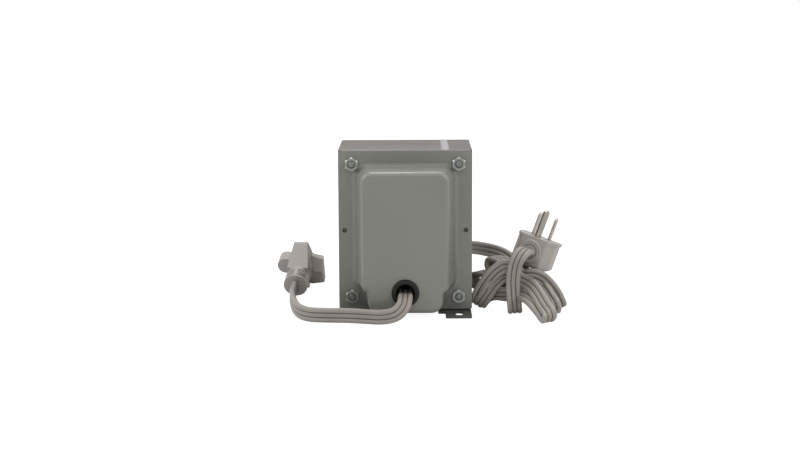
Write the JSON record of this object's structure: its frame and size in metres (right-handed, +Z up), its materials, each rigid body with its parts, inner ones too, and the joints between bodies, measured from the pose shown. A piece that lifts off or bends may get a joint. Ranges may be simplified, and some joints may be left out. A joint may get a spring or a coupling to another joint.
{
  "type": "step-up transformer",
  "caption": "Laminated-core step-up transformer between two drawn end bells on slotted feet, with a folded supply cord and plug at one end and an output cord with a socket at the other.",
  "frame": {"origin": "on the floor plane under the middle of the transformer, without its cords: middle of the two bells left to right and front to back, underside of the feet", "axes": "+Z up, -Y towards the front bell where the output cord leaves, +X to the right seen from the front, on the side of the I sheets"},
  "size_m": [0.2129, 0.1938, 0.1172],
  "materials": {
    "bell_enamel": "smooth grey-green enamel, satin",
    "contact_brass": "stamped brass",
    "copper_wire": "enamelled copper wire",
    "cord_jacket": "warm grey flexible vinyl, satin",
    "core_steel": "varnished sheet edges, dull",
    "frame_steel": "dark varnished steel, satin",
    "grommet_rubber": "black rubber, slightly glossy",
    "lead_cap": "closed-end crimp cap",
    "lead_insulation": "single lead insulation",
    "paper": "varnished kraft paper",
    "plug_metal": "nickel-plated blade, bright",
    "plug_vinyl": "warm grey moulded vinyl, satin",
    "weld_steel": "bare weld, satin",
    "zinc_steel": "bright zinc plate"
  },
  "bodies": {
    "root": {"coil_tube": "paper", "coil_wedges": "paper", "coil_wrap": "paper", "e_laminations": "core_steel", "front_bell": "bell_enamel", "front_crimp_caps": "lead_cap", "front_end_frame": "frame_steel", "front_grommet": "grommet_rubber", "front_ground_rivet": "zinc_steel", "front_ground_tag": "zinc_steel", "hex_nuts": "zinc_steel", "i_laminations": "core_steel", "input_cord": "cord_jacket", "input_cord_hank": "cord_jacket", "input_cord_tail": "cord_jacket", "input_cord_wrap": "cord_jacket", "input_leads": "lead_insulation", "output_cord": "cord_jacket", "output_cord_tail": "cord_jacket", "output_leads": "lead_insulation", "plug_body": "plug_vinyl", "plug_ground_pin": "plug_metal", "plug_line_blade": "plug_metal", "plug_neutral_blade": "plug_metal", "primary_leads": "lead_insulation", "primary_winding": "copper_wire", "rear_bell": "bell_enamel", "rear_crimp_caps": "lead_cap", "rear_end_frame": "frame_steel", "rear_grommet": "grommet_rubber", "rear_ground_rivet": "zinc_steel", "rear_ground_tag": "zinc_steel", "receptacle_body": "plug_vinyl", "receptacle_contacts": "contact_brass", "secondary_leads": "lead_insulation", "secondary_winding": "copper_wire", "spring_washers": "zinc_steel", "through_bolts": "zinc_steel", "weld_beads": "weld_steel", "winding_barrier": "paper"}
  },
  "joints": []
}
